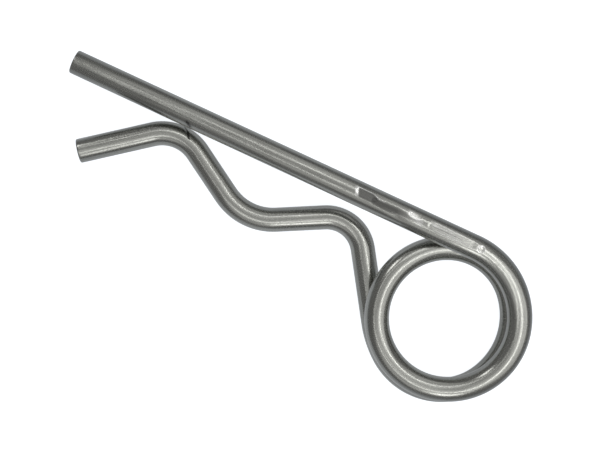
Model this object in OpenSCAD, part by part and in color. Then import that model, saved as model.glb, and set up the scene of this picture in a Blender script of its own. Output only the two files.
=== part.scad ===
// A double-coil R clip: one round spring wire, shaped the way a wire bender
// shapes it. The straight pin leg goes through a shaft's cross hole, the wavy
// leg snaps round the outside of the shaft, and the two stacked turns are the
// spring and the finger eye.
// Frame: X runs along the pin leg towards the coil and Z points up. The wavy
// leg and the start of the coil lie on the ground at Z = 0, and the origin is
// under the middle of the clip. All sizes are in millimetres and degrees.

/* [Wire] */
// Wire diameter
wire_d = 4; // [2.5:0.1:6]
// Chamfer on the two cut ends
end_chamfer = 0.3; // [0.1:0.05:0.6]

/* [Pin leg] */
// Straight length from the closing bend to the cut end
pin_len = 58.7; // [40:0.1:90]
// Length of wire that the closing bend takes up
close_len = 13.2; // [8:0.1:20]
// Least height of the pin leg's end over the ground
tip_gap = 0.5; // [0.1:0.05:1]
// Least free space between the pin leg and the hump
hump_gap = 0.3; // [0.1:0.05:1]

/* [Wavy leg] */
// Straight length of the flared end
flare_len = 12.6; // [6:0.1:20]
// Centreline radius of the hump
hump_r = 7; // [5:0.1:12]
// Angle that the hump turns through
hump_angle = 69; // [50:0.5:85]
// Straight length between the hump and the belly
slope_len = 8.3; // [3:0.1:15]
// Centreline radius of the belly, where the shaft seats
belly_r = 9.3; // [6:0.1:14]
// Angle that the belly turns through
belly_angle = 59; // [45:0.5:75]
// Straight length between the belly and the shoulder
flat_len = 8; // [4:0.1:15]
// Centreline radius of the shoulder
shoulder_r = 6; // [4.5:0.1:9]
// Angle that the shoulder turns through
shoulder_angle = 84.5; // [70:0.5:95]
// Straight length between the shoulder and the coil
drop_len = 12.1; // [6:0.1:20]

/* [Coil] */
// Mean radius of the coil at the centre of the wire
coil_r = 11.4; // [9:0.1:16]
// Angle that the coil turns through
coil_turn = 596; // [560:0.5:640]
// Free space between the turns of a coil that is truly round
turn_gap = 0.2; // [0.1:0.05:2]

/* [Hidden] */
$fn = 96;
wire_r = wire_d / 2;
rise_angle = atan((wire_d + turn_gap) / (2 * PI * coil_r));

// A hand-fed coil is a little out of round. Each entry is a share of
// coil_turn, and the radius there as a multiple of coil_r.
winding = [
  [0.033, 1.49], [0.159, 0.913], [0.125, 1.103],
  [0.117, 0.941], [0.441, 0.991], [0.125, 1.106]
];
longest_arc = 18;
// Angles that the closing bend can be set to, and the shares of a row at which
// frames are taken to find the middle.
closing_settings = [0.1:0.1:30];
row_shares = [0:0.1:0.9];

// Where two stretches of wire meet, one is a hair slimmer and reaches a little
// way into the other, so that they join into one clean solid.
joint_lap = 0.1;
joint_step = 0.01;

// The bending table. A row is [feed, roll, angle, radius, slim]: feed the wire
// straight, roll the bender about it, then bend it to the left by the angle,
// or to the right where the angle is negative.
leg_rows = [
  [flare_len - end_chamfer, 0, -hump_angle, hump_r, true],
  [slope_len, 0, belly_angle, belly_r, true],
  [flat_len, 0, -shoulder_angle, shoulder_r, true],
  [drop_len, 0, 0, 0, false]
];
// The coil is a run of short arcs, each rolled a little so that it climbs.
// Their number is even in every zone, because every second arc is a slim one.
coil_rows = [
  for (zone = winding)
    let (turn = zone[0] * coil_turn, pairs = ceil(turn / longest_arc / 2))
      let (arc = turn / pairs / 2)
        for (i = [1:2 * pairs])
          [0, arc * tan(rise_angle), arc, zone[1] * coil_r, i % 2 == 1]
];
// The closing bend is made downwards, on its side, and brings the pin leg from
// the top of the coil to the wavy leg.
function pin_rows(closing) = [
  [0, -90, closing, close_len / (closing * PI / 180), true],
  [pin_len - end_chamfer, 90, 0, 0, false]
];

// A frame is [place, forward, left, up]. These give the frame after a step.
function fed(f, length) = [f[0] + length * f[1], f[1], f[2], f[3]];
function rolled(f, a) =
  [f[0], f[1], cos(a) * f[2] + sin(a) * f[3], cos(a) * f[3] - sin(a) * f[2]];
function bent(f, a, r) = [
  f[0] + r * sin(abs(a)) * f[1] + sign(a) * r * (1 - cos(a)) * f[2],
  cos(a) * f[1] + sin(a) * f[2],
  cos(a) * f[2] - sin(a) * f[1],
  f[3]
];
function turned_to(f, row) = rolled(fed(f, row[0]), row[1]);
function after(f, row) = bent(turned_to(f, row), row[2], row[3]);
function along(f, rows, i = 0) =
  i == len(rows) ? f : along(after(f, rows[i]), rows, i + 1);

// The wire as far as the closing bend, with X along the flared end.
flare_end = [[end_chamfer, 0, wire_r], [1, 0, 0], [0, 1, 0], [0, 0, 1]];
coil_top = along(along(flare_end, leg_rows), coil_rows);
hump_mid = bent(fed(flare_end, flare_len - end_chamfer), -hump_angle / 2, hump_r);

// The closing bend is the sharpest setting that leaves both tip_gap and
// hump_gap.
function pin_end(closing) = along(coil_top, pin_rows(closing));
function off_line(point, f) = norm(cross(point - f[0], f[1]));
function pin_clears(closing) =
  let (end = fed(pin_end(closing), end_chamfer))
    end[0][2] - wire_r * norm([end[1][0], end[1][1]]) >= tip_gap
    && off_line(hump_mid[0], end) >= wire_d + hump_gap;
closing_angle = max([for (a = closing_settings) if (pin_clears(a)) a]);
all_rows = concat(leg_rows, coil_rows, pin_rows(closing_angle));

// Turning by heading lays the pin leg along X. The middle is then found from
// frames along the wire, each with the radius that the wire has there.
tip = fed(pin_end(closing_angle), end_chamfer);
heading = atan2(-tip[1][1], -tip[1][0]);
function turned(v) = [
  cos(heading) * v[0] + sin(heading) * v[1],
  cos(heading) * v[1] - sin(heading) * v[0]
];
function frames(f, rows, i = 0) = i == len(rows) ? [f] : concat(
  [for (share = row_shares) bent(turned_to(f, rows[i]), share * rows[i][2], rows[i][3])],
  frames(after(f, rows[i]), rows, i + 1)
);
sections = concat(
  [for (f = concat([flare_end], frames(flare_end, all_rows))) [f, wire_r]],
  [for (f = [fed(flare_end, -end_chamfer), tip]) [f, wire_r - end_chamfer]]
);
function reach(s, axis) =
  s[1] * sqrt(max(0, 1 - pow(turned(s[0][1])[axis], 2)));
function middle(axis) =
  (max([for (s = sections) turned(s[0][0])[axis] + reach(s, axis)])
  + min([for (s = sections) turned(s[0][0])[axis] - reach(s, axis)])) / 2;

module straight(length) {
  rotate([0, 90, 0]) cylinder(r = wire_r, h = length);
}

module cut_end() {
  rotate([0, 90, 0]) cylinder(r1 = wire_r, r2 = wire_r - end_chamfer, h = end_chamfer);
}

module arc(angle, radius, slim) {
  side = sign(angle);
  lap = slim ? joint_lap / radius * 180 / PI : 0;
  start = side > 0 ? -90 : 90 + angle;
  translate([0, side * radius, 0])
    rotate(start - lap)
      rotate_extrude(angle = abs(angle) + 2 * lap)
        translate([radius, 0]) circle(slim ? wire_r - joint_step : wire_r);
}

// Lays the wire of each row where the row before it ended.
module bend_wire(rows, i = 0) {
  if (i == len(rows)) {
    cut_end();
  } else {
    row = rows[i];
    side_shift = sign(row[2]) * row[3];
    if (row[0] > 0) straight(row[0]);
    translate([row[0], 0, 0]) rotate([row[1], 0, 0]) {
      if (row[2] != 0) arc(row[2], row[3], row[4]);
      translate([0, side_shift, 0]) rotate(row[2]) translate([0, -side_shift, 0])
        bend_wire(rows, i + 1);
    }
  }
}

module clip() {
  color([0.55, 0.55, 0.53])
    translate([-middle(0), -middle(1), 0])
      rotate(-heading)
        translate(flare_end[0]) {
          mirror([1, 0, 0]) cut_end();
          bend_wire(all_rows);
        }
}

clip();
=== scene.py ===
"""A double-coil R clip of drawn spring wire, lying on a pale studio floor."""
import math

import bpy
import numpy as np
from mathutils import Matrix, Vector


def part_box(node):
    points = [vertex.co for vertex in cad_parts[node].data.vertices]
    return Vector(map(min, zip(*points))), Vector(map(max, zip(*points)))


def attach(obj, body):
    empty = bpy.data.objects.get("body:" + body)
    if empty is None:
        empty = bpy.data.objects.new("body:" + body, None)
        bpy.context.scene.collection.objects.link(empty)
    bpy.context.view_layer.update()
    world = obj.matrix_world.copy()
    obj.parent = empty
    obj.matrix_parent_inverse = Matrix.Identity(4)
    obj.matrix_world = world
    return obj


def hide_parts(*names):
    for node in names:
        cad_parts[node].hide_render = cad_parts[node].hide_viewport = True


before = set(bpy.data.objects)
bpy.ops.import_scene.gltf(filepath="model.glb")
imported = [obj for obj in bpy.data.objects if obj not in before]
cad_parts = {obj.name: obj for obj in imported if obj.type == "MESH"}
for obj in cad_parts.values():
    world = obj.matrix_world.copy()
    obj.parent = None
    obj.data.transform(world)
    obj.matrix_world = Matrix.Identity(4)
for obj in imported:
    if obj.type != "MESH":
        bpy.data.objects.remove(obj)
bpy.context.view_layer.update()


# ---- The wire's route ----
# One length of round spring wire, bent cold on a wire bender: flared end, hump, belly,
# shoulder, one and two thirds turns of coil, then the pin leg, bent down from the coil's
# top. Lengths are in mm and angles in degrees, from the flared end on.
WIRE_R = 2.0
END_CHAMFER = 0.3
COIL_R = 11.4
COIL_TURN = 596.0
TURN_GAP = 0.2
LONGEST_ARC = 18.0
CLOSING_ANGLE = 11.6
CLOSING_LEN = 13.2
PIN_LEN = 58.7
# Feed, bend angle (positive to the left) and bend radius of the wavy leg.
WAVY_LEG = (
    (12.6, -69.0, 7.0),
    (8.3, 59.0, 9.3),
    (8.0, -84.5, 6.0),
    (12.1, 0.0, 0.0),
)
# Shares of the coil's turn, and the radius there as a multiple of COIL_R.
WINDING = (
    (0.033, 1.49),
    (0.159, 0.913),
    (0.125, 1.103),
    (0.117, 0.941),
    (0.441, 0.991),
    (0.125, 1.106),
)


def bend_table():
    """Rows of feed, roll, angle and radius. Each share of the coil is an even number of
    arcs of LONGEST_ARC or less, rolled by their own angle times the tangent of the coil's
    rise, which makes the turns climb evenly. The closing bend is rolled a quarter turn, so
    that it bends down."""
    rise = (2 * WIRE_R + TURN_GAP) / (2 * math.pi * COIL_R)
    rows = [(feed, 0.0, angle, radius) for feed, angle, radius in WAVY_LEG]
    for share, factor in WINDING:
        turn = share * COIL_TURN
        count = 2 * math.ceil(turn / LONGEST_ARC / 2)
        rows += [(0.0, turn / count * rise, turn / count, factor * COIL_R)] * count
    rows.append((0.0, -90.0, CLOSING_ANGLE, CLOSING_LEN / math.radians(CLOSING_ANGLE)))
    rows.append((PIN_LEN, 0.0, 0.0, 0.0))
    return rows


def row_length(row):
    """The feed, and the bend's radius times its angle."""
    feed, _, angle, radius = row
    return feed + radius * math.radians(abs(angle))


def route(rows, stations):
    """Place and forward direction of the wire at each station. Inside a row the wire runs
    straight, then turns about a centre at the bend radius to its left or right: a sine of
    the turn ahead and one less its cosine sideways."""
    place, ahead = np.array([0.0, 0.0, WIRE_R]), np.array([1.0, 0.0, 0.0])
    left, up = np.array([0.0, 1.0, 0.0]), np.array([0.0, 0.0, 1.0])
    out_place, out_ahead = np.zeros((len(stations), 3)), np.zeros((len(stations), 3))
    slack = 1e-9
    done = 0.0
    for row in rows:
        feed, roll, angle, radius = row
        length = row_length(row)
        c, s = math.cos(math.radians(roll)), math.sin(math.radians(roll))
        rolled_left, rolled_up = c * left + s * up, c * up - s * left
        side = math.copysign(1.0, angle)
        here = (stations >= done - slack) & (stations <= done + length + slack)
        ends = np.append(stations[here] - done, length)[:, None]
        straight = np.minimum(ends, feed)
        turn = (ends - straight) / radius if radius else np.zeros_like(ends)
        swing = side * np.sin(turn)
        forward = straight + radius * np.sin(turn)
        sideways = side * radius * (1 - np.cos(turn))
        p = place + forward * ahead + sideways * rolled_left
        t = np.cos(turn) * ahead + swing * rolled_left
        n = np.cos(turn) * rolled_left - swing * ahead
        out_place[here], out_ahead[here] = p[:-1], t[:-1]
        place, ahead, left, up = p[-1], t[-1], n[-1], rolled_up
        done += length
    return out_place, out_ahead


rows = bend_table()
total_len = sum(row_length(row) for row in rows)
pin_start = total_len - PIN_LEN

# Stations lie PLAIN_STEP apart, and closer on the cut ends, round the nick, and where the
# bender's jaws have marked the wire. The jaws' stretches are past the pin leg's start.
PLAIN_STEP = 0.32
FINE_STEP = 0.1
END_STEP = 0.05
NICK_STRETCH = (16.6, 19.4)
JAW_STRETCHES = ((-16.2, -4.7), (-3.0, 9.0))
fine_stretches = [
    (0.0, END_CHAMFER, END_STEP),
    (total_len - END_CHAMFER, total_len, END_STEP),
    (*NICK_STRETCH, FINE_STEP),
]
fine_stretches += [(pin_start + first, pin_start + last, FINE_STEP) for first, last in JAW_STRETCHES]
stations = np.arange(0.0, total_len, PLAIN_STEP)
for first, last, step in fine_stretches:
    stations = stations[(stations < first - step) | (stations > last + step)]
    stations = np.append(stations, np.linspace(first, last, round((last - first) / step) + 1))
stations = np.sort(stations)
place, ahead = route(rows, stations)

# Lay the pin leg along X. Each ring's up is as near to Z as the wire allows.
turn_back = math.atan2(-ahead[-1, 1], -ahead[-1, 0])
c, s = math.cos(turn_back), math.sin(turn_back)
to_frame = np.array([[c, s, 0.0], [-s, c, 0.0], [0.0, 0.0, 1.0]])
place, ahead = place @ to_frame.T, ahead @ to_frame.T
up = np.array([0.0, 0.0, 1.0]) - ahead * ahead[:, 2:]
up /= np.linalg.norm(up, axis=1, keepdims=True)
left = np.cross(up, ahead)


# ---- The wire's surface ----
# Round drawn wire with sheared ends. A bender's jaws have left a chisel-like bite, a
# rubbed channel, a flattened strip and a punched dot on top of the wire near the coil.
MM = 0.001
SIDES = 88
# The skin stays a hair inside the wire's own radius, and its sides crowd towards the top.
SKIN_R = 1.988
TOP_CROWDING = 0.45
EDGE_SOFTNESS = 0.008
STEEPEST_LEAN = 1.2
# How far the top of each cut end is pulled back, and how far along the wire that reaches.
CUT_LEANS = (0.2, 0.7)
CUT_REACH = 3.0
# A ring whose rim is rounded in by more than this shows torn metal.
SHEARED_INSET = 0.27

# The jaws' marks are placed by distances past the start of the pin leg, all of them within
# JAW_MARKS, and by angles from the top, positive to the wire's left. Sides are a start, an
# end and the angle over which they fade.
JAW_MARKS = (-15.0, 8.5)
# The bite's point slants and its wall stands askew by these lengths for each degree.
BITE_SLANT = 0.04
BITE_SKEW = 0.0125
BITE_MIDDLE = -5.0
BITE_SIDES = (-25.0, 13.0, 2.0)
BITE_DEPTH = 0.13
BITE_LEAST = 0.05
BITE_POINT = (3.4, 3.9)
BITE_WALL = (6.9, 7.4)
# A pressed flat: its middle, a row of distances and its depth at each of them, CLEAR where
# it leaves the skin alone.
CLEAR = -0.06
STRIP = (-5.0, (-14.3, -13.2, -12.4, -6.4, -5.2, -4.4), (CLEAR, 0.03, 0.09, 0.12, 0.08, CLEAR))
SCUFF = (-14.0, (-4.0, -3.2, -1.8, -1.0), (CLEAR, 0.06, 0.06, CLEAR))
GROOVE_ENDS = (-2.2, 4.6)
GROOVE_FADES = (2.5, 0.4)
GROOVE_MIDDLES = (12.0, 2.0)
GROOVE_HALVES = (26.0, 14.0)
GROOVE_DEPTH = 0.1
BURR_PATH = ((7.2, -26.5), (4.4, -24.0), (3.8, -14.0), (2.6, -12.0))
BURR_WIDTH = 0.11
BURR_HEIGHT = 0.03
DIMPLE_AT = (-13.785, -3.0)
DIMPLE_R = 0.5
DIMPLE_DEPTH = 0.09
# The nick is placed from the wire's flared end.
NICK_PATH = ((17.3, 66.0), (17.5, 55.0), (18.0, 38.0), (18.7, 17.0))
NICK_DEPTH = 0.07
NICK_WIDTH = 0.13

around = np.linspace(-math.pi, math.pi, SIDES, endpoint=False)
around -= TOP_CROWDING * np.sin(around)
along = stations[:, None]
past = along - pin_start
side = WIRE_R * around[None, :]
degrees = np.degrees(around)[None, :]
past_askew = past + BITE_SKEW * degrees

# The cut ends' rims are rounded by a quarter circle.
inset = np.clip(END_CHAMFER - np.minimum(stations, total_len - stations), 0.0, END_CHAMFER)
ring_radius = SKIN_R - END_CHAMFER + np.sqrt(END_CHAMFER ** 2 - inset ** 2)


def softer_of(a, b):
    """The smaller of two radii, blended over EDGE_SOFTNESS where they cross."""
    return -EDGE_SOFTNESS * np.logaddexp(-a / EDGE_SOFTNESS, -b / EDGE_SOFTNESS)


def flat_face(middle, radius):
    """A flat face's radius: its least, over the cosine of the angle from its middle, which
    is held to STEEPEST_LEAN radians, where the face is far outside the wire."""
    lean = around[None, :] - math.radians(middle)
    return radius / np.cos(np.clip(lean, -STEEPEST_LEAN, STEEPEST_LEAN))


def pressed(radius, flat):
    """The radius, or that of a flat pressed into the skin to its depth, if it is less."""
    middle, distances, depths = flat
    return softer_of(radius, flat_face(middle, SKIN_R - np.interp(past, distances, depths)))


def near_path(distance, path):
    """Distance on the wire's skin to a line through points, each given as a distance
    along the wire and an angle from the top: the least distance to any of its stretches.
    A stretch's nearest point is its start plus a share of its length, held to 0 to 1."""
    corners = np.array([(x, WIRE_R * math.radians(angle)) for x, angle in path])
    nearest = np.full((len(stations), SIDES), np.inf)
    for a, b in zip(corners, corners[1:]):
        d = b - a
        x, y = distance - a[0], side - a[1]
        share = np.clip((x * d[0] + y * d[1]) / (d @ d), 0.0, 1.0)
        nearest = np.minimum(nearest, np.hypot(x - share * d[0], y - share * d[1]))
    return nearest


def bell(distance, width):
    """e to the power of less the square of the distance over the width."""
    return np.exp(-(distance / width) ** 2)


def window(x, start, end, fade):
    """1 between start and end, and falling to 0 over fade outside them."""
    return np.clip((x - start) / fade + 1, 0, 1) * np.clip((end - x) / fade + 1, 0, 1)


def bite_share():
    """1 on the bite's floor, 0 outside it: it starts in a point, ends in a steep wall that
    stands a little askew, and its sides are sharp."""
    from_point = past - BITE_SLANT * np.abs(degrees - BITE_MIDDLE)
    start = np.interp(from_point, BITE_POINT, (0.0, 1.0))
    end = np.interp(past_askew, BITE_WALL, (1.0, 0.0))
    return start * end * window(degrees, *BITE_SIDES)


def bitten(radius):
    """In the bite the radius becomes that of a flat floor, and is BITE_LEAST less than the
    skin's where the flat would come out of it."""
    floor = np.minimum(flat_face(BITE_MIDDLE, SKIN_R - BITE_DEPTH), SKIN_R - BITE_LEAST)
    return radius + (floor - radius) * bite_share()


def groove_share():
    """1 in the middle of the groove, whose middle and half width change evenly along it,
    falling to 0 at its sides by the fourth power and at its ends evenly."""
    middle = np.interp(past, GROOVE_ENDS, GROOVE_MIDDLES)
    half = np.interp(past, GROOVE_ENDS, GROOVE_HALVES)
    start = np.clip((past - GROOVE_ENDS[0]) / GROOVE_FADES[0], 0, 1)
    end = np.clip((GROOVE_ENDS[1] - past) / GROOVE_FADES[1], 0, 1)
    return np.exp(-((degrees - middle) / half) ** 4) * start * end


def dimple_reach():
    """Distance on the wire's skin to the dimple's middle."""
    return np.hypot(past - DIMPLE_AT[0], side - WIRE_R * math.radians(DIMPLE_AT[1]))


def wire_radius():
    """The plain wire's radius, less every mark: the pressed flats, the groove, the bite and
    its raised burr, the dimple, whose eighth power makes it a flat-floored well, and the
    nick."""
    radius = np.broadcast_to(ring_radius[:, None], (len(stations), SIDES))
    marked = pressed(pressed(radius, STRIP), SCUFF) - GROOVE_DEPTH * groove_share()
    marked = bitten(marked) + BURR_HEIGHT * bell(near_path(past, BURR_PATH), BURR_WIDTH)
    radius = np.where((past > JAW_MARKS[0]) & (past < JAW_MARKS[1]), marked, radius)
    radius = radius - DIMPLE_DEPTH * np.exp(-(dimple_reach() / DIMPLE_R) ** 8)
    return radius - NICK_DEPTH * bell(near_path(along, NICK_PATH), NICK_WIDTH)


def cut_pull():
    """How far each point of a sheared end is pulled back along the wire: most at the top,
    nothing at the bottom, and fading out over CUT_REACH."""
    top = (1 + np.cos(around))[None, :] / 2
    first = CUT_LEANS[0] * np.clip(1 - along / CUT_REACH, 0, 1) * top
    last = CUT_LEANS[1] * np.clip(1 - (total_len - along) / CUT_REACH, 0, 1) * top
    return first - last


def tube_faces(rings, sides):
    """Quads between neighbouring rings, closed round, and a fan of triangles over each
    end, whose middle points come after all the rings."""
    ring, step = np.meshgrid(np.arange(rings - 1), np.arange(sides), indexing="ij")
    a = ring * sides + step
    b = ring * sides + (step + 1) % sides
    quads = np.stack([a, a + sides, b + sides, b], axis=-1).reshape(-1, 4)
    k = np.arange(sides)
    first = np.stack([np.full(sides, rings * sides), k, (k + 1) % sides], axis=-1)
    last = np.stack([np.full(sides, rings * sides + 1), (k + 1) % sides, k], axis=-1)
    last[:, 1:] += (rings - 1) * sides
    return quads.tolist() + first.tolist() + last.tolist()


# Each point of a ring lies on a spoke from the wire's middle.
spoke = np.cos(around)[None, :, None] * up[:, None] + np.sin(around)[None, :, None] * left[:, None]
skin = place[:, None] + wire_radius()[..., None] * spoke + cut_pull()[..., None] * ahead[:, None]
first_middle = place[0] + ahead[0] * CUT_LEANS[0] / 2
last_middle = place[-1] - ahead[-1] * CUT_LEANS[1] / 2
points = np.concatenate([skin.reshape(-1, 3), [first_middle, last_middle]])

# A ring reaches its radius, times the sine of its lean to each axis, to both sides. The
# middle of that reach goes to the middle of the model's box, and the lowest to its floor.
ring_reach = ring_radius[:, None] * np.sqrt(np.clip(1 - ahead ** 2, 0, 1))
low, high = (place - ring_reach).min(axis=0), (place + ring_reach).max(axis=0)
cad_low, cad_high = (np.array(corner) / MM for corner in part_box("clip"))
shift = (cad_low + cad_high) / 2 - (low + high) / 2
shift[2] = cad_low[2] - low[2]
points += shift
clip_mesh = bpy.data.meshes.new("clip_wire")
clip_mesh.from_pydata((points * MM).tolist(), [], tube_faces(len(stations), SIDES))
clip_mesh.polygons.foreach_set("use_smooth", np.ones(len(clip_mesh.polygons), dtype=bool))
clip_wire = bpy.data.objects.new("clip_wire", clip_mesh)
bpy.context.collection.objects.link(clip_wire)

# Each point's place on the wire before it was bent, in mm, so that the drawing lines
# follow the bends.
unbent = np.empty((len(stations), SIDES, 3))
unbent[..., 0] = along
unbent[..., 1] = WIRE_R * np.sin(around)
unbent[..., 2] = WIRE_R * np.cos(around)
ends = np.array([[0.0, 0.0, 0.0], [total_len, 0.0, 0.0]])
layer = clip_mesh.attributes.new("unbent", "FLOAT_VECTOR", "POINT")
layer.data.foreach_set("vector", np.concatenate([unbent.reshape(-1, 3), ends]).ravel())


def skin_values(name, values, on_ends=0.0):
    """Stores one number for each point of the skin, and on_ends for the two end points."""
    layer = clip_mesh.attributes.new(name, "FLOAT", "POINT")
    layer.data.foreach_set("value", np.append(np.clip(values, 0, 1).ravel(), [on_ends, on_ends]))


# Metal that is lightened: the strip's scratches, which tools have rubbed bright, more so
# towards the pin leg, and painted highlights on a line that runs on from the burr, on the
# bite's wall and burr, on a scuffed blob and on the dimple's rim. The wall's highlight is a
# start, an end and a fade along the wire, as is the painted shade on the patch below.
STRIP_RUB = ((-13.5, -9.5, -5.8, -4.9), (0.0, 1.0, 1.0, 0.0))
STRIP_RUB_GROWTH = ((-12.0, -6.0), (0.25, 1.0))
STRIP_RUB_SIDES = (-23.0, 10.0, 8.0)
RIDGE_PATH = ((2.6, -12.0), (0.2, -17.5), (-1.5, -20.0))
RIDGE_WIDTH = 0.2
RIDGE_HIGHLIGHT = 0.45
WALL_HIGHLIGHT = (6.85, 7.4, 0.15)
WALL_HIGHLIGHT_SIDES = (-26.0, 14.0, 3.0)
BURR_HIGHLIGHT_WIDTH = 0.132
SCUFF_PATH = ((-1.7, -18.0), (-2.4, -10.0), (-3.7, 6.0))
SCUFF_WIDTH = 0.45
RIM_HIGHLIGHT = 0.8
RIM_WIDTH = 0.2
strip_rub = np.interp(past, *STRIP_RUB) * np.interp(past, *STRIP_RUB_GROWTH)
strip_rub = strip_rub * window(degrees, *STRIP_RUB_SIDES)
# A painted highlight along the groove's upper ridge; the strip's scratches are real.
ridge_highlight = RIDGE_HIGHLIGHT * bell(near_path(past, RIDGE_PATH), RIDGE_WIDTH)
skin_values("scratched_and_highlight", strip_rub + ridge_highlight)
# Painted highlights on the bite's wall and burr, on the scuffed blob and on the dimple's rim.
wall_highlight = window(past_askew, *WALL_HIGHLIGHT) * window(degrees, *WALL_HIGHLIGHT_SIDES)
burr_highlight = bell(near_path(past, BURR_PATH), BURR_HIGHLIGHT_WIDTH)
scuff_highlight = bell(near_path(past, SCUFF_PATH), SCUFF_WIDTH)
rim_highlight = RIM_HIGHLIGHT * bell(dimple_reach() - DIMPLE_R, RIM_WIDTH)
skin_values("rubbed_and_highlight", wall_highlight + burr_highlight + scuff_highlight + rim_highlight)

# Painted shade on the bite's patch and in the groove; near black along the nick, and a
# painted contact shade on the pin leg where the hump nearly touches it; and torn metal on
# the sheared ends.
PATCH = (0.0, 6.85, 0.1)
PATCH_SHADE = 0.8
GROOVE_SHADE = 0.85
CONTACT_SHADE_PATH = ((36.0, 60.0), (36.6, 40.0))
CONTACT_SHADE_WIDTH = 0.3
# Painted shade in the bite's patch and in the groove.
patch = bite_share() * window(past_askew, *PATCH)
skin_values("painted_shade", PATCH_SHADE * patch + GROOVE_SHADE * groove_share())
# Near black along the nick, and painted contact shade on the pin leg by the hump.
nick_dark = bell(near_path(along, NICK_PATH), NICK_WIDTH)
skin_values("nick_and_contact_shade", nick_dark + bell(near_path(past, CONTACT_SHADE_PATH), CONTACT_SHADE_WIDTH))
torn_rings = (inset > SHEARED_INSET)[:, None]
skin_values("sheared", np.broadcast_to(torn_rings, (len(stations), SIDES)), 1.0)


# ---- Drawn spring steel ----
# Bare cold-drawn spring steel, satin from the die: fine lines along the wire, a close
# speckle from the drawing soap, and brighter metal where tools have rubbed it. At the tools'
# marks it also carries painted highlights and painted shade.
STEEL_DARK = (0.26, 0.262, 0.242)
STEEL_LIGHT = (0.45, 0.453, 0.42)
# Next: rubbed metal with painted highlights, painted shade, torn metal, and the near black of the
# nick and of the painted contact shade.
STEEL_RUBBED_AND_HIGHLIGHT = (0.62, 0.62, 0.6)
STEEL_PAINTED_SHADE = (0.08, 0.08, 0.075)
STEEL_SHEARED = (0.22, 0.22, 0.21)
STEEL_NICK_AND_SHADE = (0.02, 0.018, 0.015)
# Each pattern's scale per mm, how far it is drawn out along the wire, and its detail.
STREAKS = (2.6, 24.0, 4.0)
DIE_LINES = (9.0, 60.0, 2.0)
SPECKLE = (8.0, 1.6, 3.0)
GRAIN = (14.0, 1.0, 1.0)
SCRATCHES = (4.0, 25.0, 2.0)
SHEAR_LINES = (5.0, 1.0, 4.0)
# The patterns' shares in the steel's tone, and the part of each pattern's range that shows.
STREAKS_SHARE = 0.4
GRAIN_SHARE = 0.3
LINES_SHARE = 0.3
TONE_RANGE = (0.38, 0.62)
SCRATCH_RANGE = (0.42, 0.6)
SHEAR_RANGE = (0.35, 0.65)
ROUGH_RANGE = (0.35, 0.65)
OIL_RANGE = (0.4, 0.6)
# Roughness from the least speckle to the most, what shearing adds to it, and a thin, sharper
# film of drawing oil.
ROUGHNESS = (0.28, 0.2)
SHEARED_ROUGHER = 0.3
OIL_WEIGHT = (0.5, 1.0)
OIL_ROUGHNESS = 0.15
# The relief's height in mm, the die lines' share in it, and what rubbing and shearing add.
RELIEF = 0.001
LINES_RELIEF = 0.5
RUBBED_RELIEF = 3.0
SHEARED_RELIEF = 8.0


def put(tree, kind, **settings):
    """Adds a node and sets its properties."""
    node = tree.nodes.new(kind)
    for name, value in settings.items():
        setattr(node, name, value)
    return node


def math_node(tree, operation, a, b):
    """Adds a Math node whose inputs are numbers or sockets."""
    node = put(tree, "ShaderNodeMath", operation=operation)
    for socket, value in zip(node.inputs, (a, b)):
        if isinstance(value, (int, float)):
            socket.default_value = value
        else:
            tree.links.new(value, socket)
    return node.outputs[0]


def added(tree, *terms):
    """The sum of its terms, each a socket and the number or socket that multiplies it."""
    total = None
    for value, share in terms:
        part = math_node(tree, "MULTIPLY", value, share)
        total = part if total is None else math_node(tree, "ADD", total, part)
    return total


def noise_node(tree, coordinates, scale, stretch, detail):
    """Adds a noise of the given scale, drawn out along the wire by the stretch."""
    shape = put(tree, "ShaderNodeMapping")
    shape.inputs["Scale"].default_value = (scale / stretch, scale, scale)
    tree.links.new(coordinates, shape.inputs["Vector"])
    node = put(tree, "ShaderNodeTexNoise", noise_dimensions="3D")
    node.inputs["Scale"].default_value = 1.0
    node.inputs["Detail"].default_value = detail
    tree.links.new(shape.outputs[0], node.inputs["Vector"])
    return node.outputs["Fac"]


def ranged(tree, value, shown, out=(0.0, 1.0)):
    """Adds a Map Range node, which takes the shown range evenly to out and stops there."""
    node = put(tree, "ShaderNodeMapRange", clamp=True)
    for name, number in zip(("From Min", "From Max", "To Min", "To Max"), (*shown, *out)):
        node.inputs[name].default_value = number
    tree.links.new(value, node.inputs["Value"])
    return node.outputs[0]


def mixed(tree, factor, a, b):
    """Adds a Mix node for colours, which are tuples or sockets. Its sockets 6 and 7 are the
    two colours, and its output 2 is the mixed one."""
    node = put(tree, "ShaderNodeMix", data_type="RGBA")
    tree.links.new(factor, node.inputs[0])
    for socket, value in ((node.inputs[6], a), (node.inputs[7], b)):
        if isinstance(value, tuple):
            socket.default_value = value + (1.0,)
        else:
            tree.links.new(value, socket)
    return node.outputs[2]


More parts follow.
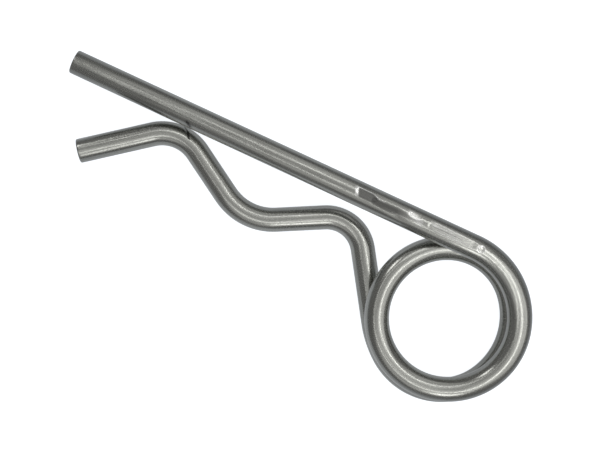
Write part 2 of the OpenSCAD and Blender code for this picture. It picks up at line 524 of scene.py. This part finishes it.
def drawn_steel():
    """The steel's tone is a sum of streaks, grain and die lines. Scratches, rubbed metal and
    painted highlights lighten it, and painted shade, shearing, and the near black of the nick
    and the painted contact shade go over them in that order."""
    material = bpy.data.materials.new("drawn_steel")
    material.use_nodes = True
    tree = material.node_tree
    shader = tree.nodes["Principled BSDF"]
    shader.inputs["Metallic"].default_value = 1.0
    shader.inputs["Coat Roughness"].default_value = OIL_ROUGHNESS
    on_wire = put(tree, "ShaderNodeAttribute", attribute_name="unbent").outputs["Vector"]
    scratched_and_highlight, rubbed_and_highlight, painted_shade, nick_and_contact_shade, sheared = (
        put(tree, "ShaderNodeAttribute", attribute_name=name).outputs["Fac"]
        for name in ("scratched_and_highlight", "rubbed_and_highlight", "painted_shade", "nick_and_contact_shade", "sheared")
    )
    streaks, lines, speckle, grain, scratches, shear_lines = (
        noise_node(tree, on_wire, *pattern)
        for pattern in (STREAKS, DIE_LINES, SPECKLE, GRAIN, SCRATCHES, SHEAR_LINES)
    )

    tone = added(tree, (streaks, STREAKS_SHARE), (grain, GRAIN_SHARE), (lines, LINES_SHARE))
    colour = mixed(tree, ranged(tree, tone, TONE_RANGE), STEEL_DARK, STEEL_LIGHT)
    # Scratches, rubbed metal and painted highlights lighten the steel.
    bright = math_node(tree, "MULTIPLY", scratched_and_highlight, ranged(tree, scratches, SCRATCH_RANGE))
    bright = math_node(tree, "MAXIMUM", bright, rubbed_and_highlight)
    colour = mixed(tree, bright, colour, STEEL_RUBBED_AND_HIGHLIGHT)
    # Painted shade darkens the bite's patch and the groove.
    colour = mixed(tree, painted_shade, colour, STEEL_PAINTED_SHADE)
    torn = mixed(tree, ranged(tree, shear_lines, SHEAR_RANGE), STEEL_SHEARED, STEEL_LIGHT)
    colour = mixed(tree, sheared, colour, torn)
    # Near black along the nick, and painted contact shade on the pin leg.
    colour = mixed(tree, nick_and_contact_shade, colour, STEEL_NICK_AND_SHADE)
    tree.links.new(colour, shader.inputs["Base Color"])

    rough = ranged(tree, speckle, ROUGH_RANGE, ROUGHNESS)
    rough = math_node(tree, "ADD", rough, math_node(tree, "MULTIPLY", sheared, SHEARED_ROUGHER))
    tree.links.new(rough, shader.inputs["Roughness"])
    oil = ranged(tree, speckle, OIL_RANGE, OIL_WEIGHT)
    tree.links.new(oil, shader.inputs["Coat Weight"])

    drawn_relief = added(tree, (lines, LINES_RELIEF), (speckle, 1.0))
    rubbing = math_node(tree, "ADD", 1.0, math_node(tree, "MULTIPLY", rubbed_and_highlight, RUBBED_RELIEF))
    shearing = math_node(tree, "MULTIPLY", shear_lines, SHEARED_RELIEF)
    bump = put(tree, "ShaderNodeBump")
    bump.inputs["Strength"].default_value = 1.0
    bump.inputs["Distance"].default_value = RELIEF * MM
    relief = added(tree, (drawn_relief, rubbing), (sheared, shearing))
    tree.links.new(relief, bump.inputs["Height"])
    tree.links.new(bump.outputs[0], shader.inputs["Normal"])
    return material


clip_mesh.materials.append(drawn_steel())
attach(clip_wire, "root")
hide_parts("clip")


# ---- Floor ----
# A white studio sweep, just under the clip. It shows as white and takes the clip's soft
# contact shadows. Metal mirrors it as a dim white that fades out a little way off.
FLOOR_HALF = 3.0
FLOOR_DROP = 0.00002
FLOOR_COLOUR = (0.36, 0.375, 0.4, 1.0)
FLOOR_GLOW = (0.95, 0.975, 1.0, 1.0)
# The floor's glow as it shows and as metal mirrors it: two distances from the middle, in
# metres, and the glow at each.
SEEN_REACH = (0.08, 0.3)
SEEN_GLOW = (0.95, 1.0)
MIRRORED_REACH = (0.025, 0.08)
MIRRORED_GLOW = (0.32, 0.0)


def background_rays(tree, mirrored):
    """1 for rays from the camera or through glass, and mirrored for reflected rays."""
    path = put(tree, "ShaderNodeLightPath")
    camera_ray, through_glass = path.outputs["Is Camera Ray"], path.outputs["Is Transmission Ray"]
    gloss = math_node(tree, "MULTIPLY", path.outputs["Is Glossy Ray"], mirrored)
    return math_node(tree, "MAXIMUM", math_node(tree, "MAXIMUM", camera_ray, through_glass), gloss)


def floor_white():
    """A matt grey that glows white for the rays that show a background."""
    material = bpy.data.materials.new("floor_white")
    material.use_nodes = True
    tree = material.node_tree
    shader = tree.nodes["Principled BSDF"]
    shader.inputs["Base Color"].default_value = FLOOR_COLOUR
    shader.inputs["Roughness"].default_value = 1.0
    shader.inputs["Specular IOR Level"].default_value = 0.0
    shader.inputs["Emission Color"].default_value = FLOOR_GLOW
    reach = put(tree, "ShaderNodeVectorMath", operation="LENGTH")
    tree.links.new(put(tree, "ShaderNodeTexCoord").outputs["Object"], reach.inputs[0])
    seen = ranged(tree, reach.outputs["Value"], SEEN_REACH, SEEN_GLOW)
    mirrored = ranged(tree, reach.outputs["Value"], MIRRORED_REACH, MIRRORED_GLOW)
    glow = math_node(tree, "MULTIPLY", background_rays(tree, mirrored), seen)
    tree.links.new(glow, shader.inputs["Emission Strength"])
    return material


floor_mesh = bpy.data.meshes.new("floor")
corner_signs = ((-1, -1), (1, -1), (1, 1), (-1, 1))
floor_corners = [(x * FLOOR_HALF, y * FLOOR_HALF, -FLOOR_DROP) for x, y in corner_signs]
floor_mesh.from_pydata(floor_corners, [], [(0, 1, 2, 3)])
floor_mesh.materials.append(floor_white())
floor = bpy.data.objects.new("floor", floor_mesh)
bpy.context.collection.objects.link(floor)


# ---- Light ----
# A ring of small round lamps about the camera, brightest on one side, wide soft boxes
# further out, and a dim room.
LAMP_DISTANCE = 0.4
RING_COUNT = 24
RING_FROM_UP = 28.0
RING_HALF_ANGLE = 3.0
RING_LEVEL = 3.0
RING_SWING = 0.5
RING_BRIGHTEST = 20.0
# Each soft box has a name, the angle from straight up, the direction round Z, the
# radiance and half the angle that it fills.
SOFT_BOXES = (
    ("front_low", 50.0, 300.0, 3.0, 7.0),
    ("back_low", 50.0, 155.0, 4.0, 7.0),
    ("right_fill", 40.0, 0.0, 0.8, 28.0),
    ("front_fill", 40.0, 280.0, 0.4, 28.0),
    ("back_fill", 40.0, 90.0, 0.4, 28.0),
    ("overhead", 0.0, 0.0, 0.35, 20.0),
)
ROOM_COLOUR = (1.0, 1.0, 1.0, 1.0)
ROOM_LIGHT = 0.2
ROOM_SEEN = 1.0
ROOM_MIRRORED = 0.02


def round_lamp(name, from_up, direction, radiance, half_angle):
    """A round lamp LAMP_DISTANCE away that faces the clip. Its power is its radiance times
    pi times its area."""
    lamp = bpy.data.lights.new(name, "AREA")
    lamp.shape = "DISK"
    lamp.size = 2 * LAMP_DISTANCE * math.tan(math.radians(half_angle))
    area = math.pi * lamp.size ** 2 / 4
    lamp.energy = radiance * math.pi * area
    fitting = bpy.data.objects.new(name, lamp)
    lean, swing = math.radians(from_up), math.radians(direction)
    across = math.sin(lean)
    away = Vector((across * math.cos(swing), across * math.sin(swing), math.cos(lean)))
    fitting.location = away * LAMP_DISTANCE
    fitting.rotation_euler = away.to_track_quat("Z", "Y").to_euler()
    bpy.context.collection.objects.link(fitting)


for k in range(RING_COUNT):
    direction = 360.0 * k / RING_COUNT
    level = RING_LEVEL * (1 + RING_SWING * math.cos(math.radians(direction - RING_BRIGHTEST)))
    round_lamp(f"ring_lamp_{k + 1}", RING_FROM_UP, direction, level, RING_HALF_ANGLE)
for soft_box in SOFT_BOXES:
    round_lamp(*soft_box)

world = bpy.data.worlds.new("room")
world.use_nodes = True
bpy.context.scene.world = world
room_tree = world.node_tree
room = room_tree.nodes["Background"]
room.inputs["Color"].default_value = ROOM_COLOUR
shown = background_rays(room_tree, ROOM_MIRRORED)
room_level = ranged(room_tree, shown, (0.0, 1.0), (ROOM_LIGHT, ROOM_SEEN))
room_tree.links.new(room_level, room.inputs["Strength"])
bpy.context.scene.view_settings.view_transform = "Standard"


# ---- Camera ----
# A camera 0.2 m up that looks straight down at the clip. It is turned so that the pin leg
# slopes down to the right. Its place, lens and sensor are in mm, CAMERA_NEAREST in m.
CAMERA_PLACE = (2.166, 3.513, 200.0)
CAMERA_TURN = 25.21
CAMERA_LENS = 72.62
CAMERA_SENSOR = 36.0
CAMERA_NEAREST = 0.01

camera_data = bpy.data.cameras.new("camera")
camera_data.lens = CAMERA_LENS
camera_data.sensor_width = CAMERA_SENSOR
camera_data.clip_start = CAMERA_NEAREST
camera = bpy.data.objects.new("camera", camera_data)
camera.location = [v * MM for v in CAMERA_PLACE]
camera.rotation_euler = (0.0, 0.0, math.radians(CAMERA_TURN))
bpy.context.collection.objects.link(camera)
bpy.context.scene.camera = camera
